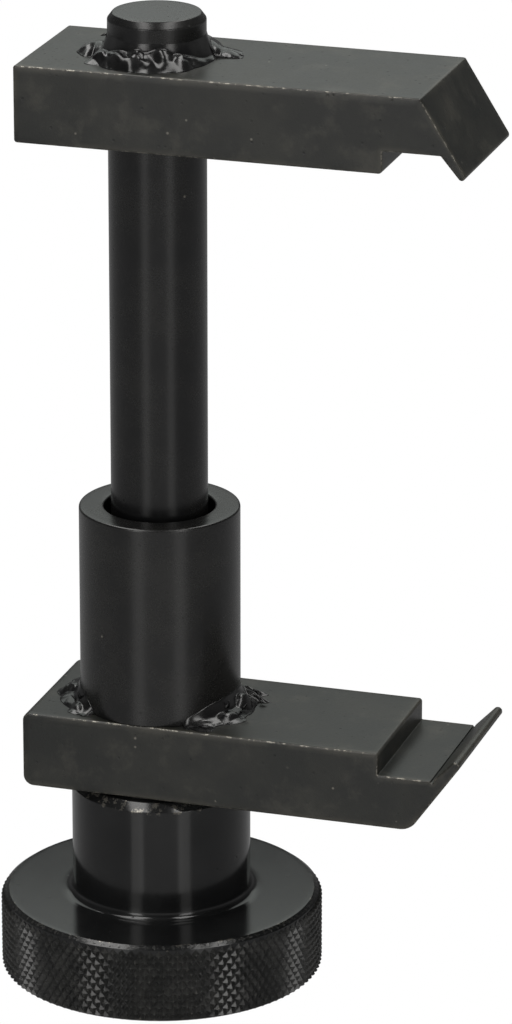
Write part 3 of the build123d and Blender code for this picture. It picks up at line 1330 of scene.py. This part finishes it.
@dataclass
class Spindle(SubAssembly):
    """The round spindle with its threaded tail, the fixed upper jaw and the weld between them."""

    chamfer_width: float = 0.8
    chamfer_height: float = 1.05
    tail_radius: float = 7.0
    root_radius: float = 5.77
    shoulder: float = 64.0
    pitch: float = 2.0
    relief: float = 3.0
    crest_share: float = 0.125
    root_share: float = 0.86
    ridge_overlap: float = 0.1
    steps_per_turn: int = 48
    hook: Hook = Hook(39.0, 47.9, 52.2, 49.7, 58.0)
    corner: float = 0.5
    tip_round: float = 0.65
    root: float = 0.3
    step_round: float = 0.12
    edge: float = 0.32
    bead_reach: float = 3.8
    bead_rise: float = 3.5
    bead_skirt: float = 1.9
    bead_lull: float = 0.55

    def build(self) -> None:
        """Builds, dresses and mounts the spindle's three pieces."""
        hand_over(self.rod(), "spindle", "spindle_rod")
        hand_over(self.arm(), "spindle", "upper_arm")
        hand_over(self.weld(), "spindle", "upper_arm_weld")

    def rod(self) -> bpy.types.Object:
        """The ground rod with its helical thread.

        Returns:
            The dressed rod.
        """
        low, high = corners("spindle_rod")
        radius = high.x
        points = [
            (0, low.z), (self.root_radius, low.z), (self.root_radius, self.shoulder),
            (radius, self.shoulder), (radius, high.z - self.chamfer_height),
            (radius - self.chamfer_width, high.z), (0, high.z),
        ]
        outline = Outline(points, [0, 0.2, 0, 0.2, 0.5, 0.35, 0])
        shaft = dress(turned("shaft", outline.ring()), self.finishes.ground)
        return joined("round_spindle", [shaft, self.thread(low.z)])

    def thread(self, foot: float) -> bpy.types.Object:
        """The helical ridge of the thread, swept along a spiral.

        Args:
            foot: Height of the rod's lower end.

        Returns:
            The dressed ridge.
        """
        length = self.shoulder - self.relief - foot - self.pitch
        model = Modelled("thread_ridge", {
            "Turns": length / self.pitch,
            "Root radius": (self.root_radius - self.ridge_overlap) * MM,
            "Length": length * MM,
            "Foot": (foot + self.pitch / 2) * MM,
            "Crest width": self.pitch * self.crest_share * MM,
            "Root width": self.pitch * self.root_share * MM,
            "Depth": (self.tail_radius - self.root_radius + self.ridge_overlap) * MM,
            "Steps per turn": self.steps_per_turn,
        }, self.finishes.ground)
        graph, given = model.graph, model.given
        spiral = graph.term("GeometryNodeCurveSpiral", None, {
            "Resolution": given("Steps per turn"), "Rotations": given("Turns"),
            "Start Radius": given("Root radius"), "End Radius": given("Root radius"),
            "Height": given("Length")})
        upright = graph.term("GeometryNodeSetCurveNormal", {"mode": "Z_UP"}, {"Curve": spiral})
        section = graph.term("GeometryNodeCurvePrimitiveQuadrilateral", {"mode": "TRAPEZOID"}, {
            "Bottom Width": given("Root width"), "Top Width": given("Crest width"),
            "Height": given("Depth"), "Offset": 0.0})
        outwards = graph.term("GeometryNodeTransform", None, {
            "Geometry": section, "Rotation": (0.0, 0.0, TURN / 4),
            "Translation": graph.join(given("Depth") * -0.5, 0.0, 0.0)})
        ridge = graph.term("GeometryNodeCurveToMesh", None, {
            "Curve": upright, "Profile Curve": outwards, "Fill Caps": True})
        raised = graph.term("GeometryNodeTransform", None, {
            "Geometry": ridge, "Translation": graph.join(0.0, 0.0, given("Foot"))})
        return model.made(raised)

    def arm(self) -> bpy.types.Object:
        """The upper jaw: a bar with a milled seat and a slanted lip pointing down.

        Returns:
            The dressed jaw.
        """
        low, high = corners("upper_arm")
        tip = self.tip_round
        radii = [self.corner, self.corner, tip, tip, self.root, self.step_round, tip, self.corner]
        outline = Outline(self.hook.corners(low.x, high.z, low.z), radii)
        bore = corners("spindle_rod")[1].x
        bar = jaw("upper_jaw_bar", "upper_arm", outline, self.edge, bore)
        return dress(bar, self.finishes.bar)

    def weld(self) -> bpy.types.Object:
        """The all-round bead on top of the upper jaw.

        Returns:
            The dressed bead.
        """
        pads = [
            Pad(-172.0, 2.2, 3.2, 2.5, 1.6, 0.2),
            Pad(-134.0, 3.0, 2.2, 1.6, 0.6),
            Pad(26.0, 2.0, 3.6, 3.6, 0.7, -0.3),
            Pad(12.0, 4.0, 1.2, 2.0, 0.5),
            Pad(-66.0, 1.0, 2.0, 1.5, 0.9, 0.3),
            Pad(-94.0, 0.9, 1.6, 1.4, 0.8, 0.2),
            Pad(-110.0, 2.3, 1.7, 1.4, 0.6),
            Pad(-48.0, 1.9, 1.7, 1.4, 0.6),
        ]
        barbs = [
            Barb(196.0, 7.3, 3.2, -18.0, 0.0, 1.3, 0.5),
            Barb(12.0, 12.2, 0.2, 4.0, -10.0, 0.9, 0.5),
        ]
        bead = WeldBead(
            "spindle_weld", corners("spindle_rod")[1].x, corners("upper_arm")[1].z,
            self.bead_reach, self.bead_rise, self.bead_skirt,
            pads=pads, barbs=barbs, lull=self.bead_lull)
        return dress(bead.build(), self.finishes.weld)


@dataclass
class LowerJaw(SubAssembly):
    """The sliding lower jaw: bar, guide sleeve and the two stitch welds between them."""

    hook: Hook = Hook(39.0, 47.6, 52.6, 46.0, 54.7)
    toe_round: float = 3.0
    heel_round: float = 1.6
    back_round: float = 1.2
    corner: float = 0.5
    tip_round: float = 0.67
    step_round: float = 0.12
    groove: float = 0.28
    edge: float = 0.32
    bore: float = 8.6
    sleeve_edge: float = 0.4
    sleeve_foot_edge: float = 0.15
    stitch_reach: float = 3.2
    stitch_rise: float = 3.2
    stitch_skirt: float = 2.2
    stitch_ripples: int = 5
    stitch_seed: int = 7
    stitch_body: float = 1.2
    stitch_bump: float = 0.12

    def build(self) -> None:
        """Builds, dresses and mounts the four pieces of the lower jaw."""
        hand_over(self.arm(), "lower_jaw", "lower_arm")
        hand_over(self.sleeve(), "lower_jaw", "sleeve")
        for side in Side:
            node = f"sleeve_weld_{side.name.lower()}"
            hand_over(self.stitch(side), "lower_jaw", node)

    def arm(self) -> bpy.types.Object:
        """The lower jaw's bar with a milled seat and a slanted lip pointing up.

        Returns:
            The dressed bar.
        """
        low, high = corners("lower_arm")
        radii = [self.heel_round, self.toe_round, self.tip_round, self.tip_round, 0,
                 self.step_round, self.corner, self.back_round]
        points = self.hook.corners(low.x, low.z, high.z)
        lip_foot = 4
        outline = Outline(points, radii, {lip_foot: self.groove})
        bar = jaw("lower_jaw_bar", "lower_arm", outline, self.edge, self.bore)
        return dress(bar, self.finishes.bar)

    def sleeve(self) -> bpy.types.Object:
        """The guide sleeve.

        Returns:
            The dressed sleeve.
        """
        low, high = corners("sleeve")
        edges = [0, self.sleeve_foot_edge, self.sleeve_edge, self.sleeve_edge]
        sleeve = tube("guide_sleeve", (self.bore, high.x), (low.z, high.z), edges, 192)
        return dress(sleeve, self.finishes.tube)

    def stitch(self, side: Side) -> bpy.types.Object:
        """One of the two stitch welds at the sleeve's foot.

        Args:
            side: The side of the sleeve.

        Returns:
            The dressed bead.
        """
        low, high = corners("sleeve")
        pads = {
            Side.LEFT: [
                Pad(-174.0, 2.4, 2.2, 1.7, 0.8, 0.3),
                Pad(-170.0, 0.8, 2.0, 1.3, 0.8, 0.2),
                Pad(-140.0, 1.6, 1.8, 1.6, 0.5),
                Pad(166.0, 1.8, 2.2, 1.9, 0.5),
            ],
            Side.RIGHT: [
                Pad(26.0, 1.9, 0.8, 2.8, 0.8, -0.5),
                Pad(15.0, 2.1, 0.8, 3.0, 0.8, -0.4),
                Pad(-2.0, 0.8, 2.6, 1.9, 1.4),
                Pad(-24.0, 2.3, 2.1, 2.0, 0.5, 0.5),
                Pad(-45.0, 2.2, 2.1, 1.8, 0.4),
            ],
        }
        barbs = {
            Side.LEFT: [
                Barb(-146.0, 12.9, 1.0, 72.0, 20.0, 1.9, 0.6),
                Barb(-150.0, 13.3, 0.8, 40.0, -20.0, 1.4, 0.5),
            ],
            Side.RIGHT: [
                Barb(-22.0, 13.1, 1.4, 60.0, 70.0, 1.6, 0.5),
                Barb(-19.0, 13.2, 1.4, 75.0, -40.0, 1.5, 0.5),
                Barb(-12.0, 14.6, 0.8, 55.0, 20.0, 1.7, 0.6),
                Barb(8.0, 15.6, 0.5, -8.0, -14.0, 1.4, 0.6),
            ],
        }
        bead = WeldBead(
            f"stitch_weld_{side.name.lower()}", high.x, low.z,
            self.stitch_reach, self.stitch_rise, self.stitch_skirt, *side.value,
            self.stitch_ripples, self.stitch_seed, pads[side], barbs[side],
            self.stitch_body, self.stitch_bump)
        return dress(bead.build(), self.finishes.weld)


@dataclass
class ClampKnob(SubAssembly):
    """The knurled knob with its hub, turned from one piece."""

    wheel_top: float = 12.4
    bevel_width: float = 1.25
    bevel_height: float = 0.9
    foot_chamfer: float = 0.35
    hub_radius: float = 14.0
    hub_bevel: float = 1.2
    foot_fillet: float = 1.2
    bore: float = 7.08
    countersink: float = 1.1
    knurl_depth: float = 0.5
    studs_round: int = 109
    rows: int = 12
    first_row: float = 0.3
    stud_overlap: float = 0.04
    stud_tip_share: float = 0.17

    def build(self) -> None:
        """Builds, dresses and mounts the knob."""
        tip, _, top = corners("clamp_knob")[1]
        core = tip - self.knurl_depth
        rim = tip - self.bevel_width
        bevel_start = self.wheel_top - self.bevel_height * (core - rim) / self.bevel_width
        mouth = self.bore + self.countersink
        points = [
            (mouth, 0), (core, 0), (core, bevel_start), (rim, self.wheel_top),
            (self.hub_radius, self.wheel_top), (self.hub_radius, top - self.hub_bevel),
            (self.hub_radius - self.hub_bevel, top), (mouth, top),
            (self.bore, top - self.countersink), (self.bore, self.countersink),
        ]
        outline = Outline(points, [0.15, 0.1, 0, 0.12, self.foot_fillet, 0.2, 0.2, 0.15, 0, 0])
        body = dress(turned("turned_body", outline.ring(), 200), self.finishes.knob)
        knob = joined("knurled_knob", [body, self.knurl(core, tip)])
        hand_over(knob, "knob", "clamp_knob")

    def knurl(self, core: float, tip: float) -> bpy.types.Object:
        """The diamond knurl: small pyramids in staggered rows, trimmed by both bevels.

        Args:
            core: Radius of the wheel below the pyramids.
            tip: Radius over their tips.

        Returns:
            The dressed knurl.
        """
        row_rise = (self.wheel_top - 2 * self.first_row) / (self.rows - 1)
        model = Modelled("knurl_studs", {
            "Studs round": self.studs_round,
            "Rows": self.rows,
            "Core radius": (core - self.stud_overlap) * MM,
            "Stud height": (tip - core + self.stud_overlap) * MM,
            "Half width": core * math.pi / self.studs_round * MM,
            "Half rise": row_rise * MM,
            "First row": self.first_row * MM,
            "Tip share": self.stud_tip_share,
            "Tip radius": tip * MM,
            "Wheel top": self.wheel_top * MM,
            "Bevel width": self.bevel_width * MM,
            "Bevel height": self.bevel_height * MM,
            "Foot chamfer": self.foot_chamfer * MM,
        }, self.finishes.knurl)
        graph, given = model.graph, model.given
        count = given("Studs round") * given("Rows")
        line = graph.term("GeometryNodeMeshLine", None, {
            "Count": count, "Offset": (0.0, 0.0, 0.0)})
        index = graph.term("GeometryNodeInputIndex")
        row = (index / given("Studs round") + ROUNDING_ROOM).floor()
        column = index - row * given("Studs round")
        angle = (column + (row % 2.0) * 0.5) * TURN / given("Studs round")
        height = given("First row") + row * given("Half rise")
        points = graph.term("GeometryNodeSetPosition", None, {
            "Geometry": line, "Position": graph.join(0.0, 0.0, height)})
        cone = graph.term("GeometryNodeMeshCone", {"fill_type": "NGON"}, {
            "Vertices": 4, "Radius Top": given("Tip share"), "Radius Bottom": 1.0,
            "Depth": 1.0}, "Mesh")
        laid = graph.term("GeometryNodeTransform", None, {
            "Geometry": cone, "Rotation": (0.0, TURN / 4, 0.0)})
        stud = graph.term("GeometryNodeTransform", None, {
            "Geometry": laid,
            "Scale": graph.join(given("Stud height"), given("Half width"), given("Half rise")),
            "Translation": graph.join(given("Core radius"), 0.0, 0.0)})
        distance = graph.split(graph.term("GeometryNodeInputPosition"))[0]
        tip_wear = ((distance - given("Core radius")) / given("Stud height")).least(1.0)
        worn = graph.term("GeometryNodeStoreNamedAttribute",
                          {"data_type": "FLOAT", "domain": "POINT"},
                          {"Geometry": stud, "Name": WEAR_NAME, "Value": tip_wear})
        spin = graph.term("FunctionNodeEulerToRotation", None, {0: graph.join(0.0, 0.0, angle)})
        studs = graph.term("GeometryNodeInstanceOnPoints", None, {
            "Points": points, "Instance": worn, "Rotation": spin})
        solid = graph.term("GeometryNodeRealizeInstances", None, {"Geometry": studs})
        return model.made(self._trimmed(model, solid))

    @staticmethod
    def _trimmed(model: Modelled, solid: Term) -> Term:
        """Draws every corner outside the bevelled envelope back on to it.

        Args:
            model: The knurl's geometry tree.
            solid: The untrimmed pyramids.

        Returns:
            The trimmed pyramids.
        """
        graph, given = model.graph, model.given
        x, y, z = graph.split(graph.term("GeometryNodeInputPosition"))
        reach = (x * x + y * y) ** 0.5
        slope = given("Bevel width") / given("Bevel height")
        below_top = (given("Wheel top") - z).most(0.0)
        above_foot = z.most(0.0)
        tip = given("Tip radius")
        foot_limit = tip - given("Foot chamfer") + above_foot
        limit = tip.least(tip - given("Bevel width") + below_top * slope).least(foot_limit)
        share = (limit / reach).least(1.0)
        level = z.least(given("Wheel top")).most(0.0)
        return graph.term("GeometryNodeSetPosition", None, {
            "Geometry": solid, "Position": graph.join(x * share, y * share, level)})


@dataclass
class ThrustWasher(SubAssembly):
    """The thin washer between hub and lower jaw."""

    edge: float = 0.08
    bore: float = 8.0

    def build(self) -> None:
        """Builds, dresses and mounts the washer."""
        low, high = corners("thrust_washer")
        edges = [0, self.edge, self.edge, 0]
        washer = tube("thrust_washer_ring", (self.bore, high.x), (low.z, high.z), edges, 96)
        hand_over(dress(washer, self.finishes.washer), "washer", "thrust_washer")


@dataclass(frozen=True)
class Lamp:
    """A rectangular soft lamp that faces the tool.

    Attributes:
        name: Name of the lamp.
        bearing: Angle to the right of the camera, in degrees.
        distance: Distance from the screw axis.
        height: Height of the lamp's middle.
        size: Width and height.
        power: Power in watts.
        tint: Colour of the light.
    """

    name: str
    bearing: float
    distance: float
    height: float
    size: tuple[float, float]
    power: float
    tint: Colour = (1.0, 0.99, 0.97)

    def hang(self, azimuth: float, target_height: float) -> None:
        """Puts the lamp in the scene.

        Args:
            azimuth: Bearing of the camera, in degrees.
            target_height: Height on the screw axis at which the lamp points.
        """
        data = bpy.data.lights.new(self.name, "AREA")
        data.shape = "RECTANGLE"
        data.size, data.size_y = (side * MM for side in self.size)
        data.energy = self.power
        data.color = self.tint
        turn = math.radians(azimuth + self.bearing)
        place = Vector((math.sin(turn) * self.distance, -math.cos(turn) * self.distance,
                        self.height))
        facing = place - Vector((0.0, 0.0, target_height))
        lamp = placed(self.name, data)
        lamp.location = place * MM
        lamp.rotation_euler = facing.to_track_quat("Z", "Y").to_euler()


LAMPS = (
    Lamp("left_box", -30.0, 620.0, -65.0, (160.0, 450.0), 0.16),
    Lamp("right_box", 30.0, 620.0, -65.0, (160.0, 450.0), 0.157),
    Lamp("front_box", 0.0, 560.0, -40.0, (560.0, 600.0), 0.17),
    Lamp("left_ceiling_box", -90.0, 300.0, 840.0, (1100.0, 240.0), 4.2),
    Lamp("right_ceiling_box", 90.0, 300.0, 840.0, (1100.0, 240.0), 4.2),
    Lamp("left_upper_box", -32.0, 620.0, 270.0, (150.0, 300.0), 0.58),
    Lamp("right_upper_box", 32.0, 620.0, 270.0, (150.0, 300.0), 0.46),
    Lamp("back_box", 180.0, 600.0, 526.0, (900.0, 486.0), 1.24, (0.94, 1.0, 0.955)),
)


@dataclass
class Studio:
    """Plain pale floor, white surroundings, soft lamps and the camera.

    The glow values light the tool from the world around it. Each band is a range of the
    direction's component over which one glow passes into the next.
    """

    azimuth: float = 17.538
    elevation: float = 19.374
    distance: float = 905.235
    target_right: float = 14.892
    target_height: float = 74.825
    focal_pixels: float = 5858.0
    frame_height_pixels: float = 1024.0
    sensor: float = 36.0
    clip: Range = (0.05, 20.0)
    floor_radius: float = 2400.0
    floor_drop: float = 12.6
    floor_depth: float = 2.0
    paper: Colour = (0.86, 0.86, 0.85)
    white: Colour = (1.0, 1.0, 1.0)
    front_glow: float = 0.29
    back_glow: float = 0.12
    back_floor_glow: float = 0.32
    ceiling_glow: float = 0.07
    front_band: Range = (-0.75, -0.35)
    floor_band: Range = (-0.08, -0.24)
    ceiling_band: Range = (0.5, 0.0)

    def build(self) -> None:
        """Sets up the whole studio."""
        self.camera()
        self.floor()
        self.surroundings()
        for lamp in LAMPS:
            lamp.hang(self.azimuth, self.target_height)
        bpy.context.scene.view_settings.view_transform = "Standard"

    def camera(self) -> None:
        """The camera at the measured viewing angle."""
        turn, rise = math.radians(self.azimuth), math.radians(self.elevation)
        right = Vector(polar(turn, 1.0))
        back = Vector((math.sin(turn) * math.cos(rise), -math.cos(turn) * math.cos(rise),
                       math.sin(rise)))
        target = right * self.target_right + Vector((0.0, 0.0, self.target_height))
        data = bpy.data.cameras.new("camera")
        data.sensor_width = self.sensor
        data.lens = self.focal_pixels * self.sensor / self.frame_height_pixels
        data.clip_start, data.clip_end = self.clip
        camera = placed("camera", data)
        camera.location = (target + back * self.distance) * MM
        camera.rotation_euler = back.to_track_quat("Z", "Y").to_euler()
        bpy.context.scene.camera = camera

    def floor(self) -> None:
        """A round pale floor, white to the camera, below the knob's lowest place."""
        material = bpy.data.materials.new("studio_floor")
        graph = blank(material)
        paper = graph.term("ShaderNodeBsdfDiffuse", None, {"Color": rgba(self.paper)})
        white = graph.term("ShaderNodeEmission", None, {"Color": rgba(self.white), "Strength": 1.0})
        clear = graph.term("ShaderNodeBsdfTransparent")
        path = graph.add("ShaderNodeLightPath")
        glossy, through, shadow, camera = (
            Term(graph, path.outputs[f"Is {kind} Ray"])
            for kind in ("Glossy", "Transmission", "Shadow", "Camera"))
        unseen = glossy.most(through).most(shadow)
        lit = graph.term("ShaderNodeMixShader", None, {0: unseen, 1: paper, 2: clear})
        surface = graph.term("ShaderNodeMixShader", None, {0: camera, 1: lit, 2: white})
        graph.add("ShaderNodeOutputMaterial", None, {"Surface": surface})
        top = -self.floor_drop
        outline = [(0, top, 0), (self.floor_radius, top, 0),
                   (self.floor_radius, top - self.floor_depth, 0), (0, top - self.floor_depth, 0)]
        dress(turned("studio_floor", outline, 96), material)

    def surroundings(self) -> None:
        """A world that is white to the camera and lights the tool softly, most from the front."""
        world = bpy.data.worlds.new("studio")
        bpy.context.scene.world = world
        graph = blank(world)
        path = graph.add("ShaderNodeLightPath")
        camera = Term(graph, path.outputs["Is Camera Ray"])
        x, y, z = graph.split(graph.term("ShaderNodeTexCoord", output="Generated"))
        turn = math.radians(self.azimuth)
        facing = x * math.sin(turn) - y * math.cos(turn)
        back = self.back_glow + z.ease(*self.floor_band) * (self.back_floor_glow - self.back_glow)
        around = back + facing.ease(*self.front_band) * (self.front_glow - back)
        glow = self.ceiling_glow + (around - self.ceiling_glow) * z.ease(*self.ceiling_band)
        strength = glow + camera * (1.0 - glow)
        light = graph.term("ShaderNodeBackground", None, {
            "Color": rgba(self.white), "Strength": strength})
        graph.add("ShaderNodeOutputWorld", None, {"Surface": light})


def main() -> None:
    """Builds the tool and its studio, in order."""
    logging.basicConfig(level=logging.INFO, format="%(message)s")
    finishes = Finishes()
    for sub_assembly in (Spindle, LowerJaw, ThrustWasher, ClampKnob):
        sub_assembly(finishes).build()
    Studio().build()


if __name__ == "__main__":
    main()
